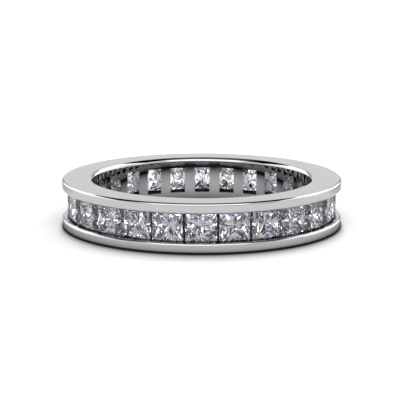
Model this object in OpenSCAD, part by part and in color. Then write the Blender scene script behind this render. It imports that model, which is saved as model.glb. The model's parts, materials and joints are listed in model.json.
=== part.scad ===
// Full circle channel set band: one metal hoop whose two plain rails hold a ring of square princess cut stones.
// The hoop lies on its side. Its axis is Z, its lower face is at Z = 0 and the first stone looks along -Y.

/* [Hoop] */
// Diameter of the finger hole
bore_d = 17.3; // [17.2:0.1:18]
// Thickness of the hoop from the finger hole to the outside of the rails
wall_t = 2.4; // [2.35:0.05:2.8]
// Width of the hoop along the finger
band_w = 3.8; // [3.7:0.05:4.4]
// Rounding of the rails' outer edges
edge_r = 0.2; // [0.1:0.01:0.25]
// Rounding of the finger hole's two edges
bore_edge_r = 0.35; // [0.1:0.01:0.4]

/* [Channel] */
// Width of the channel between the two rails
channel_w = 2.15; // [2.1:0.01:2.25]
// Depth of the tables below the outside of the rails
table_drop = 0.42; // [0.38:0.01:0.5]
// Depth of the cross bars' tops below the stones' girdles
bar_drop = 0.3; // [0.25:0.01:0.4]
// Width of each window in the finger hole's wall, round the hoop
window_w = 1.24; // [1:0.02:1.3]
// Height of each window, along the finger
window_h = 2.09; // [1.8:0.01:2.1]

/* [Stones] */
// Stones round the hoop
stone_count = 26; // [26]
// Width of one stone across its girdle
stone_w = 2.4; // [2.36:0.01:2.42]
// Width of the table
table_w = 1.66; // [1.5:0.01:1.8]
// Height of the crown
crown_h = 0.27; // [0.2:0.01:0.3]
// Thickness of the girdle
girdle_t = 0.065; // [0.04:0.005:0.08]
// Gap left between a stone and the metal
seat_gap = 0.03; // [0.02:0.005:0.04]

/* [Hidden] */
bore_r = bore_d / 2;
rim_r = bore_r + wall_t;
mid_z = band_w / 2;
pitch = 360 / stone_count;
stone_half = stone_w / 2;

// Levels of a stone, each measured out from the hoop's axis
table_r = rim_r - table_drop;
crown_low_r = table_r - crown_h;
girdle_low_r = crown_low_r - girdle_t;
bar_top_r = girdle_low_r - bar_drop;

// A flat stone's corners reach further from the axis than its middle
corner_r = norm([crown_low_r, stone_half]);

// How far the rails' lips rise from the girdle's corners to the channel
LIP_RISE = 0.12;

// The star facet's tip, as shares of the crown's slope: how far out from the table, and how far up from the girdle
STAR_OUT = 0.5;
STAR_UP = 0.72;

// The pavilion's middle line, from the girdle in to the point: [share of the half width, slope in degrees]
PAVILION_STEPS = [[0.18, 62], [0.2, 55], [0.22, 48], [0.4, 40.5]];

// How far a cutter runs past the surface that it goes through
over = 0.4;

// Segments of a small rounding and of the hoop's own circle
ROUND_FN = 32;
HOOP_FN = 180;

METAL = "gainsboro";
STONE = "lightcyan";

function two_digits(i) = i < 10 ? str("0", i) : str(i);
function stone_name(i) = str("stone_", two_digits(i));

// A point of one side of a stone, turned to side number k. Sides are 90 degrees apart
function on_side(p, k) = [p.x * cos(90 * k) - p.y * sin(90 * k), p.x * sin(90 * k) + p.y * cos(90 * k), p.z];

function four_sides(p) = [for (k = [0 : 3]) on_side(p, k)];

// Distance in from the girdle, and depth below it, after the first n steps of the pavilion's middle line
function step_in(half, n) = n == 0 ? 0 : step_in(half, n - 1) + half * PAVILION_STEPS[n - 1][0];
function step_down(half, n) =
    n == 0 ? 0 : step_down(half, n - 1) + half * PAVILION_STEPS[n - 1][0] * tan(PAVILION_STEPS[n - 1][1]);

// Points of a pavilion whose girdle is at height z: four corners, then four tips for each chevron, then the point
function pavilion_points(half, z) = concat(
    four_sides([half, half, z]),
    [for (n = [1 : len(PAVILION_STEPS) - 1])
        for (p = four_sides([half - step_in(half, n), 0, z - step_down(half, n)])) p],
    [[0, 0, z - step_down(half, len(PAVILION_STEPS))]]
);

// Facets of that pavilion, where base is the index of its first corner. Side k lies between corners k + 3 and k
function pavilion_facets(base) =
    let (chevrons = len(PAVILION_STEPS) - 1, tip = base + 4 * (chevrons + 1))
    concat(
        [for (k = [0 : 3]) [base + (k + 3) % 4, base + k, base + 4 + k]],
        [for (n = [1 : chevrons]) for (k = [0 : 3])
            let (here = base + 4 * n + k, deeper = n == chevrons ? tip : here + 4)
            each [[base + k, deeper, here], [base + (k + 3) % 4, here, deeper]]]
    );

// A cut stone with its table up and the top of its girdle at height 0
module princess_cut() {
    table_half = table_w / 2;
    slope_w = stone_half - table_half;
    points = concat(
        four_sides([table_half, table_half, crown_h]),
        four_sides([table_half + STAR_OUT * slope_w, 0, STAR_UP * crown_h]),
        four_sides([stone_half, stone_half, 0]),
        pavilion_points(stone_half, -girdle_t)
    );
    star = 4;
    rim = 8;
    low = 12;
    facets = concat(
        [[3, 2, 1, 0]],
        [for (k = [0 : 3]) let (last = (k + 3) % 4) each [
            [last, k, star + k],
            [last, star + k, rim + last],
            [k, rim + k, star + k],
            [rim + last, star + k, rim + k],
            [rim + last, rim + k, low + k, low + last]
        ]],
        pavilion_facets(low)
    );
    polyhedron(points, facets);
}

// The space that the metal leaves for a pavilion, closed by a flat lid at the girdle
module pavilion_seat() {
    polyhedron(
        pavilion_points(stone_half + seat_gap, 0),
        concat([[3, 2, 1, 0]], pavilion_facets(0))
    );
}

// Puts its children at place i round the hoop, with their own Z turned outwards and their origin at radius r
module at_place(i, r) {
    rotate([0, 0, -90 + i * pitch]) translate([r, 0, mid_z]) rotate([0, 90, 0]) children();
}

// Upright rectangle from one corner to the other with round corners
module round_box(low, high, r) {
    translate([low.x + r, low.y]) square([high.x - low.x - 2 * r, high.y - low.y]);
    translate([low.x, low.y + r]) square([high.x - low.x, high.y - low.y - 2 * r]);
    for (x = [low.x + r, high.x - r]) for (y = [low.y + r, high.y - r])
        translate([x, y]) circle(r = r, $fn = ROUND_FN);
}

// Cross section of the hoop, before its windows and seats are cut
module hoop_section() {
    rail_h = (band_w - channel_w) / 2;
    rail_foot_r = bar_top_r - 2 * edge_r - bore_edge_r;
    groove_half = stone_half + 1.5 * seat_gap;
    lip_half = channel_w / 2;
    difference() {
        union() {
            round_box([bore_r, 0], [bar_top_r, band_w], bore_edge_r);
            round_box([rail_foot_r, 0], [rim_r, rail_h], edge_r);
            round_box([rail_foot_r, band_w - rail_h], [rim_r, band_w], edge_r);
        }
        // Groove under the lips of both rails, which holds the girdles
        translate([0, mid_z]) polygon([
            [bar_top_r, -groove_half], [corner_r + seat_gap, -groove_half], [corner_r + LIP_RISE, -lip_half],
            [corner_r + LIP_RISE, lip_half], [corner_r + seat_gap, groove_half], [bar_top_r, groove_half]
        ]);
    }
}

module band() {
    color(METAL) difference() {
        rotate_extrude($fn = HOOP_FN) hoop_section();
        for (i = [0 : stone_count - 1]) {
            at_place(i, girdle_low_r) pavilion_seat();
            at_place(i, bore_r - over)
                translate([-window_h / 2, -window_w / 2, 0])
                cube([window_h, window_w, bar_top_r - bore_r + over - seat_gap]);
        }
    }
}

module stone(i) {
    color(STONE) at_place(i - 1, crown_low_r) princess_cut();
}

band();
for (i = [1 : stone_count])
    stone(i);
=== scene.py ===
"""Dresses the channel set band: the hoop as a finely rounded mirror polished mesh, the cut stones in clear
faceted glass, and a white studio round them with the camera at the photograph's angle."""

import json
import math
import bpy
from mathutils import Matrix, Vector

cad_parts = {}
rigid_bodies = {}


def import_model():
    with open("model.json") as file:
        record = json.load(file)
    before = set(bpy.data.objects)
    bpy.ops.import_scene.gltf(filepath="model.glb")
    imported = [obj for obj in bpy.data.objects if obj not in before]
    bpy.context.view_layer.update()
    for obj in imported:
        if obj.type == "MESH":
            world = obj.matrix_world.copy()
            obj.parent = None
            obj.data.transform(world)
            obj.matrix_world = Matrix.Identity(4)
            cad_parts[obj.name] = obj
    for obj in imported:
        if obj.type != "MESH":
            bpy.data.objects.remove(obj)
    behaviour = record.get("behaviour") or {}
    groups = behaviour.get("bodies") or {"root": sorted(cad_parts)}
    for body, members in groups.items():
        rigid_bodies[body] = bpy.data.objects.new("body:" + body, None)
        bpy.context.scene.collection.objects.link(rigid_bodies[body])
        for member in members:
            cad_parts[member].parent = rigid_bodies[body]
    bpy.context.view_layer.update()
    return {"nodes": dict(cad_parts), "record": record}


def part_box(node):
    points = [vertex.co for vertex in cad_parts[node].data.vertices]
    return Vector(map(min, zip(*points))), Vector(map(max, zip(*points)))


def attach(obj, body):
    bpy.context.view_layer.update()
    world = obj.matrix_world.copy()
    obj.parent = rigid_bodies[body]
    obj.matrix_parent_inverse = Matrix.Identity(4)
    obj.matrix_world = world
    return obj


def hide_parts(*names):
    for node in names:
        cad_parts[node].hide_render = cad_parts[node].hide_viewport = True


bl_info = {
    "name": "Channel set band",
    "version": (1, 0, 0),
    "blender": (4, 5, 0),
    "location": "View3D > Sidebar > Band",
    "description": "Builds a polished channel set band with square stones and its white studio",
    "category": "Object",
}

import bpy
from mathutils import Vector

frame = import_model()

MM = 0.001
WHITE = (1.0, 1.0, 1.0)
BAND = "band"
STONES = sorted(name for name in frame["nodes"] if name.startswith("stone_"))
BAND_LOW, BAND_HIGH = (Vector(corner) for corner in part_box(BAND))
STONE_LOW, STONE_HIGH = (Vector(corner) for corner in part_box(STONES[0]))
FINGER_HOLE = next(m for m in frame["record"]["mounts"] if m["name"] == "finger_hole")
PITCH = math.tau / len(STONES)


def length(name, description, default):
    """A size that the user can change, in metres."""
    return bpy.props.FloatProperty(
        name=name, description=description, default=default, unit="LENGTH", precision=5)


def angle(name, description, degrees):
    """An angle that the user can change, shown in degrees."""
    return bpy.props.FloatProperty(
        name=name, description=description, default=math.radians(degrees), subtype="ANGLE")


def share(name, description, default, most=1.0):
    """A plain number from 0 to most."""
    return bpy.props.FloatProperty(
        name=name, description=description, default=default, min=0.0, max=most)


def tint(name, description, default):
    """A colour that the user can change."""
    return bpy.props.FloatVectorProperty(
        name=name, description=description, default=default, subtype="COLOR", size=3, min=0.0, max=4.0)


class HoopSizes(bpy.types.PropertyGroup):
    """Sizes of the metal hoop."""

    bore_radius: length("Finger hole radius", "From the axis to the wall of the finger hole",
                        FINGER_HOLE["dims"]["r_mm"] * MM)
    rim_radius: length("Outside radius", "From the axis to the outside of both rails", BAND_HIGH.x)
    width: length("Band width", "Along the finger, from face to face", BAND_HIGH.z - BAND_LOW.z)
    channel: length("Channel width", "Gap between the two rails' lips", 2.15 * MM)
    edge: length("Edge rounding", "Radius of the rails' outer edges and lips", 0.2 * MM)
    bore_edge: length("Hole edge rounding", "Radius of the finger hole's two edges", 0.35 * MM)
    window_width: length("Window width", "Round the hoop", 1.24 * MM)
    window_height: length("Window height", "Along the finger", 2.09 * MM)


class SettingSizes(bpy.types.PropertyGroup):
    """How the stones sit in the channel."""

    girdle_level: length("Girdle level", "From the axis to the stones' widest level", 10.295 * MM)
    bar_level: length("Bar level", "From the axis to the tops of the bars between the stones", 9.995 * MM)
    lip_rise: length("Lip rise", "From the girdles' corners out to the lips' sharp inner edge", 0.12 * MM)
    girdle: length("Girdle", "Thickness of the stones at their widest level", 0.065 * MM)
    gap: length("Seat gap", "Between a stone and the metal", 0.03 * MM)


class Finishes(bpy.types.PropertyGroup):
    """Colours and polish of the metal and the stones."""

    metal: tint("Metal colour", "What the polished metal sends back", (0.5, 0.5, 0.505))
    polish: share("Metal roughness", "0 is a perfect mirror", 0.02)
    # Painted shade: the channel, the seats and the window sills are coloured near black where shade falls,
    # and they get a painted glow that only the stones show
    recess: tint("Recess colour", "Metal inside the channel and the windows", (0.012, 0.012, 0.013))
    recess_roughness: share("Recess roughness", "Unpolished, darkened metal", 0.9)
    seat_painted_glow_front: share("Seat glow, front", "Light that the front seats send back into their stones", 0.07)
    seat_painted_glow_back: share("Seat glow, back", "The same at the back of the hoop", 1.3, most=10.0)
    stone: tint("Stone colour", "Tint of the clear stones", (0.9, 0.91, 0.95))
    stone_gloss: tint("Stone gloss", "How much of the room the stones' outside mirrors", (0.25, 0.25, 0.25))
    facets_round: bpy.props.IntProperty(
        name="Small facets", description="Round the middle of a stone's underside", default=16, min=4)
    facet_length: length("Small facet length", "Out from the middle of a stone's underside", 0.7 * MM)
    facet_tilt: share("Small facet tilt", "How far the small facets lean from the large ones", 0.12)
    # Painted shade: beyond the margin the stones' colour turns near black, standing in for the shade of the
    # lips
    margin: length("Dark margin", "From a stone's middle line to where the lips' shade begins", 0.96 * MM)
    margin_painted_shade: tint("Margin colour", "Colour of the stones in the lips' shade", (0.02, 0.02, 0.02))
    stone_ior: share("Stone index", "Refractive index of the stones", 2.417, most=4.0)


class Studio(bpy.types.PropertyGroup):
    """Camera and light."""

    distance: length("Camera distance", "From the hoop's centre", 125.6 * MM)
    turn: angle("Camera turn", "Round the hoop from the first stone, to the right", 0.25)
    elevation: angle("Camera elevation", "Above the floor", 11.28)
    lens: bpy.props.FloatProperty(name="Lens", description="Focal length on a 36 mm sensor", default=136.6)
    shift_x: bpy.props.FloatProperty(name="Shift right", description="In picture widths", default=0.0151)
    shift_y: bpy.props.FloatProperty(name="Shift up", description="In picture widths", default=-0.0200)
    floor_size: length("Floor size", "Side of the square floor", 2.4)
    floor_white: tint("Floor colour", "Plain pale floor", (1.0, 1.0, 1.0))
    # Painted shade on the floor: the contact colour, the reaches and the hole light paint a shadow round the
    # hoop's foot and inside the finger hole
    floor_contact_shade: tint("Contact colour", "Floor where the hoop touches it", (0.02, 0.02, 0.02))
    shade_reach: length("Shade reach", "How far the hoop's shade reaches over the floor in front", 1.17 * MM)
    side_reach: length("Side shade reach", "The same beside and behind the hoop", 0.1 * MM)
    mirrored_reach: length("Mirrored shade reach", "The same as the metal mirrors it, all round", 0.95 * MM)
    hole_reach: length("Hole shade reach", "The same inside the finger hole", 1.8 * MM)
    hole_light: share("Hole light", "Share of the floor's colour that is left inside the finger hole", 0.72)
    # Painted shade: the floor is coloured darker for rays through the stones and for rays that the metal
    # mirrors
    floor_painted_stone_dim: share("Floor dimming", "How much of the floor's light is lost in the stones", 0.45)
    floor_dim: share("Mirrored floor dimming", "How much darker the metal mirrors the floor in front", 0.13)
    floor_dim_back: share("Mirrored floor dimming, back", "The same for the floor behind the hoop", 0.55)
    light: share("Light", "Brightness of all the panels", 1.08, most=10.0)
    floor_light: share("Floor light", "Extra brightness of the panels on the floor", 0.54, most=10.0)
    tent_lean: angle("Tent lean", "How far the tent leans to one side", 4.5)
    flash_scale: share("Flash scale", "Finer flashes in the stones with a larger number", 18.0, most=50.0)
    flash_low: share("Flash low", "Brightness of the dark flashes", 0.12)
    flash_high: share("Flash high", "Brightness of the light flashes", 1.82, most=10.0)
    behind: share("Light from behind", "Added to what comes through the stones from the back", 1.5, most=10.0)
    flash_blue: tint("Blue flash", "Colour of the cool flashes", (0.35, 0.38, 1.1))
    flash_amber: tint("Amber flash", "Colour of the rare warm flashes", (1.0, 0.65, 0.25))


def settings():
    """The scene's property groups."""
    return bpy.context.scene.channel_band


class ChannelBand(bpy.types.PropertyGroup):
    """All that a user can change."""

    hoop: bpy.props.PointerProperty(type=HoopSizes)
    setting: bpy.props.PointerProperty(type=SettingSizes)
    finishes: bpy.props.PointerProperty(type=Finishes)
    studio: bpy.props.PointerProperty(type=Studio)


# Where the first stone lies round the hoop
FRONT = -math.pi / 2
# Steps of one sector of the hoop, and segments of each rounded edge
SECTOR_STEPS = 20
ROUND_STEPS = 8
# Points nearer than this are one, and edges flatter than this are shaded smooth
SAME_POINT = 1e-6
SMOOTH_UNDER = math.radians(31)
# The groove under the lips is wider than the stones by this many seat gaps on either side
GROOVE_GAPS = 1.5
# How far a cutter runs past the surface that it goes through
OVER = 0.4 * MM
# The windows' upright walls lean less than this from upright and from the spoke through them
WALL_TILT = 0.25


def clear_selection():
    """Leaves edit mode with nothing selected."""
    if bpy.context.object and bpy.context.object.mode != "OBJECT":
        bpy.ops.object.mode_set(mode="OBJECT")
    bpy.ops.object.select_all(action="DESELECT")


def work_on(obj):
    """Makes obj the only selected object, and the active one."""
    clear_selection()
    obj.select_set(True)
    bpy.context.view_layer.objects.active = obj


def edit(obj, kind):
    """Opens obj in edit mode with nothing selected, to pick vertices, edges or faces."""
    work_on(obj)
    bpy.ops.object.mode_set(mode="EDIT")
    bpy.ops.mesh.select_mode(type=kind)
    bpy.ops.mesh.select_all(action="DESELECT")


def pick(obj, part, test):
    """Selects the vertices, edges or polygons for which test says yes, and no others."""
    bpy.ops.object.mode_set(mode="EDIT")
    bpy.ops.mesh.select_all(action="DESELECT")
    bpy.ops.object.mode_set(mode="OBJECT")
    for item in getattr(obj.data, part):
        item.select = bool(test(item))
    bpy.ops.object.mode_set(mode="EDIT")


def apply_modifier(obj, kind, **values):
    """Adds a modifier with these values and applies it."""
    work_on(obj)
    bpy.ops.object.modifier_add(type=kind)
    modifier = obj.modifiers[-1]
    for name, value in values.items():
        setattr(modifier, name, value)
    bpy.ops.object.modifier_apply(modifier=modifier.name)


def hoop_corners(hoop, setting):
    """Corners of the hoop's lower half, from the hole round to the bars: (radius, height, rounding)."""
    middle = hoop.width / 2
    lip = middle - hoop.channel / 2
    half_stone = (STONE_HIGH.x - STONE_LOW.x) / 2
    corner = math.hypot(setting.girdle_level + setting.girdle, half_stone)
    groove = middle - half_stone - GROOVE_GAPS * setting.gap
    return [
        (hoop.bore_radius, 0.0, hoop.bore_edge),
        (hoop.rim_radius, 0.0, hoop.edge),
        (hoop.rim_radius, lip, hoop.edge),
        (corner + setting.lip_rise, lip, 0.0),
        (corner + setting.gap, groove, 0.0),
        (setting.bar_level, groove, 0.0),
    ]


def draw_outline(hoop, setting):
    """The hoop's section as a closed wire, drawn by extruding one vertex from corner to corner."""
    below = hoop_corners(hoop, setting)
    above = [(radius, hoop.width - height, rounding) for radius, height, rounding in reversed(below)]
    corners = below + above
    # The sweep turns clockwise as seen from above, so it starts at the sector's right hand end
    along = Vector((math.cos(FRONT + PITCH / 2), math.sin(FRONT + PITCH / 2), 0.0))
    places = [along * radius + Vector((0, 0, height)) for radius, height, _ in corners]
    clear_selection()
    bpy.ops.mesh.primitive_plane_add(size=hoop.edge, location=(0, 0, 0))
    wire = bpy.context.object
    wire.name = "hoop"
    bpy.ops.object.mode_set(mode="EDIT")
    bpy.ops.mesh.merge(type="CENTER")
    bpy.ops.mesh.select_all(action="SELECT")
    bpy.ops.transform.translate(value=places[0])
    for here, there in zip(places, places[1:] + places[:1]):
        bpy.ops.mesh.extrude_region_move(TRANSFORM_OT_translate={"value": there - here})
    bpy.ops.mesh.select_all(action="SELECT")
    bpy.ops.mesh.remove_doubles(threshold=SAME_POINT)
    for rounding in (hoop.edge, hoop.bore_edge):
        round_places = [place for place, corner in zip(places, corners) if corner[2] == rounding]
        pick(wire, "vertices", lambda v: any((v.co - place).length < SAME_POINT for place in round_places))
        bpy.ops.mesh.bevel(
            affect="VERTICES", offset=rounding, segments=ROUND_STEPS, profile=0.5, clamp_overlap=False)
    return wire


def sweep_sector(hoop):
    """Sweeps the wire through the room of one stone and closes both ends."""
    pick(hoop, "vertices", lambda v: True)
    bpy.ops.mesh.spin(steps=SECTOR_STEPS, angle=PITCH, center=(0, 0, 0), axis=(0, 0, 1))
    for side in (-1, 1):
        pick(hoop, "vertices", lambda v: at_end(v.co, side))
        bpy.ops.mesh.edge_face_add()
    bpy.ops.mesh.select_all(action="SELECT")
    bpy.ops.mesh.normals_make_consistent(inside=False)


def at_end(point, side):
    """True if a point lies in the plane where a sector ends, on side -1 or 1."""
    turned = FRONT + side * PITCH / 2
    return abs(point.x * math.sin(turned) - point.y * math.cos(turned)) < SAME_POINT


def closes_end(hoop, face):
    """True for a face that closes either end of a sector."""
    corners = [hoop.data.vertices[i].co for i in face.vertices]
    return any(all(at_end(corner, side) for corner in corners) for side in (-1, 1))


def seat_cutter(setting):
    """The pavilion of the first stone, a little larger than the stone itself."""
    clear_selection()
    source = frame["nodes"][STONES[0]]
    source.select_set(True)
    bpy.context.view_layer.objects.active = source
    bpy.ops.object.duplicate()
    cutter = bpy.context.object
    cutter.name = "seat_cutter"
    bpy.ops.object.parent_clear(type="CLEAR_KEEP_TRANSFORM")
    bpy.ops.object.mode_set(mode="EDIT")
    bpy.ops.mesh.select_all(action="SELECT")
    bpy.ops.mesh.remove_doubles(threshold=SAME_POINT)
    girdle = Vector((0, -setting.girdle_level, BAND_HIGH.z / 2))
    bpy.ops.mesh.bisect(
        plane_co=girdle, plane_no=(0, -1, 0), clear_outer=True, use_fill=True, threshold=SAME_POINT)
    bpy.ops.mesh.select_all(action="SELECT")
    grown = 1 + 2 * setting.gap / (STONE_HIGH.x - STONE_LOW.x)
    bpy.ops.transform.resize(value=(grown, grown, grown), center_override=girdle)
    bpy.ops.mesh.normals_make_consistent(inside=False)
    bpy.ops.object.mode_set(mode="OBJECT")
    return cutter


def window_cutter(hoop, setting):
    """An upright box through the finger hole's wall behind the first stone."""
    clear_selection()
    inner = hoop.bore_radius - OVER
    outer = setting.bar_level - setting.gap
    bpy.ops.mesh.primitive_cube_add(
        size=1.0,
        location=(0, -(inner + outer) / 2, hoop.width / 2),
        scale=(hoop.window_width, outer - inner, hoop.window_height),
    )
    bpy.ops.object.transform_apply(location=True, rotation=True, scale=True)
    cutter = bpy.context.object
    cutter.name = "window_cutter"
    return cutter


def in_recess(face, hoop, setting):
    """True for a face of the seats, the grooves or the windows' sills, which get the near black painted
    shade.
    """
    point = face.center
    outwards = Vector((point.x, point.y, 0.0))
    if abs(face.normal.z) < WALL_TILT and abs(face.normal.dot(outwards.normalized())) < WALL_TILT:
        return False
    corners = hoop_corners(hoop, setting)
    lip_root = corners[3][0]
    groove = corners[4][1]
    inside = hoop.bore_radius + setting.gap < outwards.length < lip_root
    return inside and groove - SAME_POINT < point.z < hoop.width - groove + SAME_POINT


def remove(obj):
    """Deletes a helper object."""
    work_on(obj)
    bpy.ops.object.delete()


def resize(obj, factor):
    """Makes a mesh larger or smaller about the origin."""
    edit(obj, "VERT")
    bpy.ops.mesh.select_all(action="SELECT")
    bpy.ops.transform.resize(value=(factor, factor, factor), center_override=(0, 0, 0))
    bpy.ops.object.mode_set(mode="OBJECT")


def shade(obj):
    """Smooth shading that leaves the large faces flat. Weighting ignores faces as small as a ring's, so the
    mesh is a thousand times larger for that step."""
    resize(obj, 1 / MM)
    work_on(obj)
    bpy.ops.object.shade_smooth_by_angle(angle=SMOOTH_UNDER)
    apply_modifier(obj, "WEIGHTED_NORMAL", mode="FACE_AREA", weight=50, thresh=0.0, keep_sharp=True)
    resize(obj, MM)


class RING_OT_hoop(bpy.types.Operator):
    """Models the metal hoop: a rounded section swept round, with a window and a seat cut for each stone"""

    bl_idname = "ring.hoop"
    bl_label = "Metal hoop"

    def execute(self, context):
        band = settings()
        hoop = draw_outline(band.hoop, band.setting)
        sweep_sector(hoop)
        for cutter in (seat_cutter(band.setting), window_cutter(band.hoop, band.setting)):
            apply_modifier(hoop, "BOOLEAN", object=cutter, operation="DIFFERENCE", solver="EXACT")
            remove(cutter)
        edit(hoop, "FACE")
        pick(hoop, "polygons", lambda f: closes_end(hoop, f))
        bpy.ops.mesh.delete(type="FACE")
        bpy.ops.mesh.select_mode(type="VERT")
        bpy.ops.mesh.select_all(action="SELECT")
        copies = len(STONES) - 1
        bpy.ops.mesh.spin(steps=copies, dupli=True, angle=copies * PITCH, center=(0, 0, 0), axis=(0, 0, 1))
        bpy.ops.mesh.select_all(action="SELECT")
        bpy.ops.mesh.remove_doubles(threshold=SAME_POINT)
        bpy.ops.mesh.normals_make_consistent(inside=False)
        hoop.data.materials.append(polished_metal(band.finishes))
        hoop.data.materials.append(dull_recess(band.finishes))
        bpy.ops.mesh.select_mode(type="FACE")
        # Painted shade: faces inside the channel, the seats and the window sills get the near black material
        pick(hoop, "polygons", lambda f: in_recess(f, band.hoop, band.setting))
        hoop.active_material_index = 1
        bpy.ops.object.material_slot_assign()
        shade(hoop)
        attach(hoop, "root")
        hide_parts(BAND)
        return {"FINISHED"}


# Where a Mix node keeps its two colours among its inputs, and the mixed one among its outputs
MIX_INPUTS = (6, 7)
MIX_OUTPUT = 2


class Wiring:
    """Adds maths nodes to a node tree, so that a formula reads as one."""

    def __init__(self, tree):
        self.nodes = tree.nodes
        self.links = tree.links

    def put(self, value, socket):
        """Sets a socket to a number, or links it to another node's output."""
        if isinstance(value, (int, float)):
            socket.default_value = value
        else:
            self.links.new(value, socket)

    def maths(self, operation, *values):
        """One maths node."""
        node = self.nodes.new("ShaderNodeMath")
        node.operation = operation
        for socket, value in zip(node.inputs, values):
            self.put(value, socket)
        return node.outputs["Value"]

    def vectors(self, operation, *values):
        """One vector maths node."""
        node = self.nodes.new("ShaderNodeVectorMath")
        node.operation = operation
        for socket, value in zip(node.inputs, values):
            if isinstance(value, tuple):
                socket.default_value = value
            else:
                self.links.new(value, socket)
        return node.outputs["Vector"]

    def join(self, x, y, z):
        """A vector from three numbers."""
        node = self.nodes.new("ShaderNodeCombineXYZ")
        for socket, value in zip(node.inputs, (x, y, z)):
            self.put(value, socket)
        return node.outputs["Vector"]

    def place(self):
        """The place on the piece."""
        return self.nodes.new("ShaderNodeTexCoord").outputs["Object"]

    def parts(self, vector):
        """The three numbers of a vector."""
        split = self.nodes.new("ShaderNodeSeparateXYZ")
        self.links.new(vector, split.inputs["Vector"])
        return [split.outputs[axis] for axis in "XYZ"]

    def total(self, first, *others):
        """Adds numbers up."""
        for other in others:
            first = self.maths("ADD", first, other)
        return first

    def product(self, first, *others):
        """Multiplies numbers."""
        for other in others:
            first = self.maths("MULTIPLY", first, other)
        return first

    def radius(self, x, y):
        """Length of the line from (0, 0) to (x, y)."""
        return self.maths("SQRT", self.total(self.product(x, x), self.product(y, y)))

    def rise(self, value, low, high, bottom=0.0, top=1.0):
        """Goes smoothly from bottom to top while value goes from low to high."""
        node = self.nodes.new("ShaderNodeMapRange")
        node.interpolation_type = "SMOOTHSTEP"
        for name, number in (("From Min", low), ("From Max", high), ("To Min", bottom), ("To Max", top)):
            node.inputs[name].default_value = number
        self.put(value, node.inputs["Value"])
        return node.outputs["Result"]

    def mix(self, share_of_second, first, second):
        """Mixes two colours, each a tuple or an output."""
        node = self.nodes.new("ShaderNodeMix")
        node.data_type = "RGBA"
        self.put(share_of_second, node.inputs["Factor"])
        for number, colour in zip(MIX_INPUTS, (first, second)):
            if isinstance(colour, tuple):
                node.inputs[number].default_value = (*colour, 1.0)
            else:
                self.links.new(colour, node.inputs[number])
        return node.outputs[MIX_OUTPUT]


def new_material(name):
    """An empty node material, a helper that adds nodes to it, and its Principled shader."""
    material = bpy.data.materials.new(name)
    material.use_nodes = True
    wire = Wiring(material.node_tree)
    shader = next(n for n in wire.nodes if n.type == "BSDF_PRINCIPLED")
    return material, wire, shader


# Sizes of the polish's marks, as the noise's scale and detail, and how long the hairlines are for their width
CLOUDS = (900.0, 3.0)
HAIRLINES = (2500.0, 2.0)
HAIRLINE_STRETCH = 14.0
# Roughness that the clouds add, and how deep the hairlines are
CLOUD_ROUGHNESS = 0.03
HAIRLINE_STRENGTH = 0.02
HAIRLINE_DEPTH = 0.01 * MM


def noise(wire, place, scale, detail):
    """A noise texture at a place, as a number."""
    node = wire.nodes.new("ShaderNodeTexNoise")
    node.inputs["Scale"].default_value = scale
    node.inputs["Detail"].default_value = detail
    wire.links.new(place, node.inputs["Vector"])
    return node.outputs["Fac"]


def polish_marks():
    """Node group: the faint hairlines and clouding of hand polished metal, as roughness and height."""
    group = bpy.data.node_groups.new("polish_marks", "ShaderNodeTree")
    group.interface.new_socket(name="Vector", in_out="INPUT", socket_type="NodeSocketVector")
    for name in ("Roughness", "Amount"):
        group.interface.new_socket(name=name, in_out="INPUT", socket_type="NodeSocketFloat")
    for name in ("Roughness", "Height"):
        group.interface.new_socket(name=name, in_out="OUTPUT", socket_type="NodeSocketFloat")
    wire = Wiring(group)
    inputs = wire.nodes.new("NodeGroupInput")
    outputs = wire.nodes.new("NodeGroupOutput")
    stretch = wire.nodes.new("ShaderNodeMapping")
    stretch.inputs["Scale"].default_value = (1.0, 1.0, HAIRLINE_STRETCH)
    wire.links.new(inputs.outputs["Vector"], stretch.inputs["Vector"])
    clouds = wire.product(inputs.outputs["Amount"], noise(wire, inputs.outputs["Vector"], *CLOUDS))
    roughness = wire.maths("MULTIPLY_ADD", clouds, CLOUD_ROUGHNESS, inputs.outputs["Roughness"])
    wire.links.new(roughness, outputs.inputs["Roughness"])
    wire.links.new(noise(wire, stretch.outputs["Vector"], *HAIRLINES), outputs.inputs["Height"])
    return group


def polished_metal(finishes):
    """Bright white gold with a mirror polish and the faintest hairlines."""
    material, wire, shader = new_material("polished_white_gold")
    marks = wire.nodes.new("ShaderNodeGroup")
    marks.node_tree = polish_marks()
    marks.inputs["Roughness"].default_value = finishes.polish
    marks.inputs["Amount"].default_value = 1.0
    bump = wire.nodes.new("ShaderNodeBump")
    bump.inputs["Strength"].default_value = HAIRLINE_STRENGTH
    bump.inputs["Distance"].default_value = HAIRLINE_DEPTH
    wire.links.new(wire.place(), marks.inputs["Vector"])
    wire.links.new(marks.outputs["Roughness"], shader.inputs["Roughness"])
    wire.links.new(marks.outputs["Height"], bump.inputs["Height"])
    wire.links.new(bump.outputs["Normal"], shader.inputs["Normal"])
    shader.inputs["Base Color"].default_value = (*finishes.metal, 1.0)
    shader.inputs["Metallic"].default_value = 1.0
    return material


# From front to back along Y, where the seats' painted glow changes
GLOW_STRETCH = (3 * MM, 10 * MM)
# How much of the light the dull metal's surface mirrors, where 0.5 is usual
RECESS_GLOSS = 0.1


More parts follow.
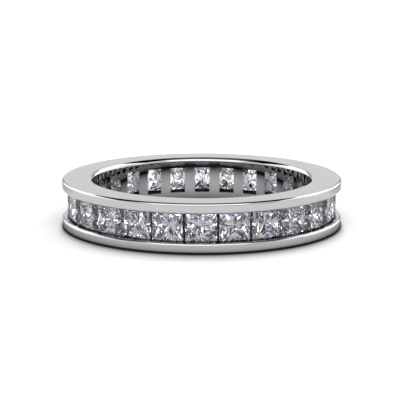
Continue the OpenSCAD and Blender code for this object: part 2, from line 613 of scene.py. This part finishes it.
def dull_recess(finishes):
    """Unpolished metal inside the channel and the windows, coloured near black as painted shade. It has a
    painted glow that shows only through the stones.
    """
    material, wire, shader = new_material("dull_recess")
    shader.inputs["Base Color"].default_value = (*finishes.recess, 1.0)
    shader.inputs["Roughness"].default_value = finishes.recess_roughness
    shader.inputs["Specular IOR Level"].default_value = RECESS_GLOSS
    # Painted glow: these faces glow white for rays that come out of a stone, though they are no lamp
    shader.inputs["Emission Color"].default_value = (*WHITE, 1.0)
    y = wire.parts(wire.place())[1]
    through = wire.nodes.new("ShaderNodeLightPath").outputs["Is Transmission Ray"]
    glow = wire.rise(y, *GLOW_STRETCH, finishes.seat_painted_glow_front, finishes.seat_painted_glow_back)
    wire.links.new(wire.product(through, glow), shader.inputs["Emission Strength"])
    return material


# Each stone's small facets are its own part of one endless pattern. The front stone's part lies at the first
# number, and each next one a step further
PATTERN_START = 13.0
PATTERN_STEP = 7.3
# The small facets begin this far below a stone's widest level
UNDERSIDE_BELOW = 0.1 * MM
# Width of the soft edge of the painted shade beside the lips
MARGIN_BLUR = 0.05 * MM


def small_facets(wire, finishes):
    """A random lean for each of the small facets, which radiate from the middle of each stone's underside."""
    x, y, z = wire.parts(wire.place())
    turns = wire.maths("DIVIDE", wire.maths("SUBTRACT", wire.maths("ARCTAN2", y, x), FRONT), PITCH)
    number = wire.maths("ROUND", turns)
    radius = wire.radius(x, y)
    aside = wire.product(wire.maths("SUBTRACT", turns, number), PITCH, radius)
    up = wire.maths("SUBTRACT", z, BAND_HIGH.z / 2)
    way_round = wire.product(wire.maths("ARCTAN2", up, aside), finishes.facets_round / math.tau)
    way_out = wire.maths("DIVIDE", wire.radius(aside, up), finishes.facet_length)
    own_pattern = wire.maths("MULTIPLY_ADD", number, PATTERN_STEP, PATTERN_START)
    cells = wire.nodes.new("ShaderNodeTexVoronoi")
    cells.distance = "MANHATTAN"
    cells.inputs["Scale"].default_value = 1.0
    wire.links.new(wire.join(way_round, way_out, own_pattern), cells.inputs["Vector"])
    lean = wire.vectors("SUBTRACT", cells.outputs["Color"], (0.5, 0.5, 0.5))
    underside = wire.maths("LESS_THAN", radius, settings().setting.girdle_level - UNDERSIDE_BELOW)
    amount = wire.product(underside, finishes.facet_tilt)
    return wire.vectors("MULTIPLY", lean, wire.join(amount, amount, amount))


def cut_stone(finishes):
    """Clear stone that bends light strongly. Small facets break up its underside, and a painted shade darkens
    its colour next to the lips.
    """
    material, wire, shader = new_material("clear_cut_stone")
    shader.inputs["Roughness"].default_value = 0.0
    shader.inputs["IOR"].default_value = finishes.stone_ior
    shader.inputs["Transmission Weight"].default_value = 1.0
    shader.inputs["Specular Tint"].default_value = (*finishes.stone_gloss, 1.0)
    flat = wire.nodes.new("ShaderNodeNewGeometry").outputs["Normal"]
    leaning = wire.vectors("ADD", flat, small_facets(wire, finishes))
    wire.links.new(wire.vectors("NORMALIZE", leaning), shader.inputs["Normal"])
    height = wire.parts(wire.place())[2]
    off_middle = wire.maths("ABSOLUTE", wire.maths("SUBTRACT", height, BAND_HIGH.z / 2))
    # Painted shade: near black colour on the stone beside either lip
    shaded = wire.rise(off_middle, finishes.margin, finishes.margin + MARGIN_BLUR)
    colour = wire.mix(shaded, tuple(finishes.stone), tuple(finishes.margin_painted_shade))
    wire.links.new(colour, shader.inputs["Base Color"])
    return material


class RING_OT_stones(bpy.types.Operator):
    """Gives every cut stone its clear, strongly refracting material"""

    bl_idname = "ring.stones"
    bl_label = "Cut stones"

    def execute(self, context):
        clear = cut_stone(settings().finishes)
        for name in STONES:
            stone = frame["nodes"][name]
            stone.data.materials.clear()
            stone.data.materials.append(clear)
        return {"FINISHED"}


# Width of the camera's sensor in its own millimetres, and how near and far it sees in metres
SENSOR = 36.0
NEAR = 0.005
FAR = 10.0


def photo_camera(studio):
    """Places the camera at the photograph's angle."""
    clear_selection()
    target = Vector((0, 0, BAND_HIGH.z / 2))
    level = math.cos(studio.elevation)
    away = Vector((math.sin(studio.turn) * level, -math.cos(studio.turn) * level, math.sin(studio.elevation)))
    bpy.ops.object.camera_add(
        location=target + away * studio.distance,
        rotation=(math.pi / 2 - studio.elevation, 0, studio.turn),
    )
    camera = bpy.context.object
    camera.name = "photo_camera"
    camera.data.lens = studio.lens
    camera.data.sensor_width = SENSOR
    camera.data.shift_x = studio.shift_x
    camera.data.shift_y = studio.shift_y
    camera.data.clip_start = NEAR
    camera.data.clip_end = FAR
    bpy.context.scene.camera = camera


# The painted shade's reach in front follows this power of how squarely a place lies in front of the hoop
SHADE_POWER = 1.2
# From front to back along Y, where the floor seen through the stones gets less painted dimming, and where the
# floor that the metal mirrors gets more
STONE_DIM_STRETCH = (-2 * MM, 8 * MM)
MIRRORED_STRETCH = (3 * MM, 14 * MM)


def painted_contact_shade(wire, studio, hoop, x, y, mirrored):
    """Painted shade on the floor: the share of the floor's colour that is left, from 0 at the hoop's foot to
    1 well away from it, and less inside the finger hole.
    """
    radius = wire.radius(x, y)
    to_front = wire.maths("MAXIMUM", wire.maths("DIVIDE", y, wire.product(radius, -1.0)), 0.0)
    reach = wire.product(wire.maths("POWER", to_front, SHADE_POWER), studio.shade_reach)
    reach = wire.maths("MAXIMUM", reach, studio.side_reach)
    reach = wire.product(reach, wire.maths("SUBTRACT", 1.0, mirrored))
    reach = wire.total(reach, wire.product(mirrored, studio.mirrored_reach))
    outside = wire.maths("MAXIMUM", wire.maths("SUBTRACT", radius, hoop.rim_radius), 0.0)
    inside = wire.maths("MAXIMUM", wire.maths("SUBTRACT", hoop.bore_radius, radius), 0.0)
    away = wire.total(wire.maths("DIVIDE", outside, reach), wire.maths("DIVIDE", inside, studio.hole_reach))
    painted_light_share = wire.maths("SUBTRACT", 1.0, wire.maths("EXPONENT", wire.product(away, -1.0)))
    in_hole = wire.maths("GREATER_THAN", inside, 0.0)
    return wire.product(painted_light_share, wire.maths("SUBTRACT", 1.0, wire.product(in_hole, 1.0 - studio.hole_light)))


def floor_paint(studio, hoop):
    """Pale and dull, with painted shade beside the hoop's foot and in the finger hole, and painted dimming
    where the stones or the metal show it.
    """
    material, wire, shader = new_material("pale_floor")
    x, y = wire.parts(wire.place())[:2]
    path = wire.nodes.new("ShaderNodeLightPath")
    mirrored = path.outputs["Is Glossy Ray"]
    # Painted shade: the floor's colour is darker where the stones or the metal show it
    painted_stone_dim = wire.rise(y, *STONE_DIM_STRETCH, studio.floor_painted_stone_dim, 0.0)
    painted_stone_dim = wire.product(path.outputs["Is Transmission Ray"], painted_stone_dim)
    dim = wire.rise(y, *MIRRORED_STRETCH, studio.floor_dim, studio.floor_dim_back)
    lost = wire.total(painted_stone_dim, wire.product(mirrored, dim))
    painted_light_share = painted_contact_shade(wire, studio, hoop, x, y, mirrored)
    seen = wire.product(painted_light_share, wire.maths("SUBTRACT", 1.0, lost))
    colour = wire.mix(seen, tuple(studio.floor_contact_shade), tuple(studio.floor_white))
    wire.links.new(colour, shader.inputs["Base Color"])
    shader.inputs["Roughness"].default_value = 1.0
    shader.inputs["Specular IOR Level"].default_value = 0.0
    return material


def white_floor(studio, hoop):
    """A pale floor with painted shade round the hoop."""
    clear_selection()
    bpy.ops.mesh.primitive_plane_add(size=studio.floor_size, location=(0, 0, 0))
    floor = bpy.context.object
    floor.name = "floor"
    floor.data.materials.append(floor_paint(studio, hoop))


# The tent's panels: brightness, then three reaches in degrees. The first is sideways, from 0 in the middle to
# 90 at either end. The second is over the top, from 0 at the back to 180 at the front. The third is past the
# slanting edge of the softboxes, beside the dark opening in the roof
WHOLE = (-100, 100)
PANELS = {
    "backdrop": (0.84, (-10, 12), (-90, 25), WHOLE),
    "backdrop_gaps": (0.45, (12, 24), (-90, 25), WHOLE),
    "backdrop_sides": (1.75, (24, 100), (-90, 25), WHOLE),
    "high_backdrop": (0.84, (-10, 15), (25, 43), WHOLE),
    "high_sides": (1.75, (15, 100), (25, 43), WHOLE),
    "side_softboxes": (2.1, (-10, 62), (43, 115), (0, 100)),
    "roof": (0.25, (-10, 22), (74, 104), WHOLE),
    "front_softbox": (2.1, (-10, 36), (115, 160), WHOLE),
    "front_corners": (1.0, (36, 62), (115, 168), WHOLE),
    "front_wall": (0.3, (-10, 36), (160, 168), WHOLE),
    "front_foot": (0.3, (-10, 62), (168, 270), WHOLE),
    "ends": (1.2, (62, 100), (43, 270), WHOLE),
}
# The direction square to that slanting edge, towards the softboxes, and half the width of every panel's soft
# edge in degrees
SLANT = (0.567, 0.402, -0.718)
PANEL_EDGE = 1.5

# In the stones the tent is broken into cells. A cell's three random numbers choose its brightness and colour,
# and each pair is where that change begins and ends
BRIGHT_CELLS = (0.45, 0.9)
BLUE_CELLS = (0.75, 0.78)
AMBER_CELLS = (0.94, 0.96)
# Share of the blue that is left at the back of the tent
BLUE_AT_BACK = 0.3
# Where the tent's front turns into its back, along Y, and where the light from behind fades, in degrees
# sideways
TENT_MIDDLE = (-0.1, 0.1)
BEHIND_FADE = (25, 55)


def panel(wire, directions, brightness, *reaches):
    """One panel's light: its brightness within its reaches, and nothing outside them."""
    light = brightness
    for value, (low, high) in zip(directions, reaches):
        from_low = wire.rise(value, low - PANEL_EDGE, low + PANEL_EDGE)
        to_high = wire.rise(value, high - PANEL_EDGE, high + PANEL_EDGE, 1.0, 0.0)
        light = wire.product(light, from_low, to_high)
    return light


def stone_fire(wire, studio, direction, y, sideways):
    """Brightness and colour of the tent's cells, as the stones show them."""
    pattern = wire.nodes.new("ShaderNodeTexVoronoi")
    pattern.inputs["Scale"].default_value = studio.flash_scale
    wire.links.new(direction, pattern.inputs["Vector"])
    cells = wire.nodes.new("ShaderNodeSeparateColor")
    wire.links.new(pattern.outputs["Color"], cells.inputs["Color"])
    level = wire.rise(cells.outputs["Red"], *BRIGHT_CELLS, studio.flash_low, studio.flash_high)
    from_behind = wire.rise(y, *TENT_MIDDLE, 0.0, studio.behind)
    from_behind = wire.product(from_behind, wire.rise(sideways, *BEHIND_FADE, 1.0, 0.0))
    cool = wire.rise(cells.outputs["Green"], *BLUE_CELLS)
    cool = wire.product(cool, wire.rise(y, *TENT_MIDDLE, 1.0, BLUE_AT_BACK))
    blue = wire.mix(cool, WHITE, tuple(studio.flash_blue))
    colour = wire.mix(wire.rise(cells.outputs["Blue"], *AMBER_CELLS), blue, tuple(studio.flash_amber))
    return wire.total(level, from_behind), colour


def light_tent(studio):
    """A white tent with a dark opening in its roof. The stones show it broken up, as by fine cutting."""
    world = bpy.data.worlds.new("light_tent")
    bpy.context.scene.world = world
    world.use_nodes = True
    wire = Wiring(world.node_tree)
    wire.nodes.clear()
    direction = wire.nodes.new("ShaderNodeTexCoord").outputs["Generated"]
    leaning = wire.nodes.new("ShaderNodeVectorRotate")
    leaning.rotation_type = "Y_AXIS"
    leaning.inputs["Angle"].default_value = studio.tent_lean
    wire.links.new(direction, leaning.inputs["Vector"])
    x, y, z = wire.parts(leaning.outputs["Vector"])
    x = wire.maths("ABSOLUTE", x)
    sideways = wire.maths("DEGREES", wire.maths("ARCSINE", x))
    over = wire.maths("DEGREES", wire.maths("ARCTAN2", z, y))
    past = wire.total(*(wire.product(part, slant) for part, slant in zip((x, y, z), SLANT)))
    past = wire.maths("DEGREES", wire.maths("ARCSINE", past))
    light = wire.total(*(panel(wire, (sideways, over, past), *values) for values in PANELS.values()))
    path = wire.nodes.new("ShaderNodeLightPath")
    through = path.outputs["Is Transmission Ray"]
    on_floor = wire.product(path.outputs["Is Diffuse Ray"], studio.floor_light)
    level, fire = stone_fire(wire, studio, direction, y, sideways)
    plain = wire.maths("SUBTRACT", wire.total(on_floor, 1.0), through)
    strength = wire.product(light, studio.light, wire.total(wire.product(through, level), plain))
    background = wire.nodes.new("ShaderNodeBackground")
    wire.links.new(strength, background.inputs["Strength"])
    wire.links.new(wire.mix(through, WHITE, fire), background.inputs["Color"])
    out = wire.nodes.new("ShaderNodeOutputWorld")
    wire.links.new(background.outputs["Background"], out.inputs["Surface"])


# How often light may bounce in all, between mirrors, and through the stones
BOUNCES = {"max_bounces": 24, "glossy_bounces": 16, "transmission_bounces": 24}


class RING_OT_studio(bpy.types.Operator):
    """Sets up the camera, the pale floor and the white light tent"""

    bl_idname = "ring.studio"
    bl_label = "Studio"

    def execute(self, context):
        studio = settings().studio
        photo_camera(studio)
        white_floor(studio, settings().hoop)
        light_tent(studio)
        scene = context.scene
        scene.view_settings.view_transform = "Standard"
        for name, count in BOUNCES.items():
            setattr(scene.cycles, name, count)
        scene.cycles.caustics_refractive = False
        scene.cycles.caustics_reflective = False
        return {"FINISHED"}


class RING_PT_band(bpy.types.Panel):
    """Lists the pieces and their sizes"""

    bl_idname = "RING_PT_band"
    bl_label = "Channel set band"
    bl_space_type = "VIEW_3D"
    bl_region_type = "UI"
    bl_category = "Band"

    def draw(self, context):
        for operator in OPERATORS:
            self.layout.operator(operator.bl_idname)
        band = settings()
        for group in (band.hoop, band.setting, band.finishes, band.studio):
            box = self.layout.box()
            for name in group.bl_rna.properties.keys():
                if name not in ("rna_type", "name"):
                    box.prop(group, name)


OPERATORS = (RING_OT_hoop, RING_OT_stones, RING_OT_studio)
CLASSES = (HoopSizes, SettingSizes, Finishes, Studio, ChannelBand) + OPERATORS + (RING_PT_band,)


def register():
    """Registers every class and puts the settings on the scene."""
    for kind in CLASSES:
        bpy.utils.register_class(kind)
    bpy.types.Scene.channel_band = bpy.props.PointerProperty(type=ChannelBand)


def unregister():
    """Takes the settings and the classes away again."""
    del bpy.types.Scene.channel_band
    for kind in reversed(CLASSES):
        bpy.utils.unregister_class(kind)


def main():
    """Builds the pieces in order."""
    register()
    bpy.ops.ring.hoop()
    bpy.ops.ring.stones()
    bpy.ops.ring.studio()
    clear_selection()


if __name__ == "__main__":
    main()
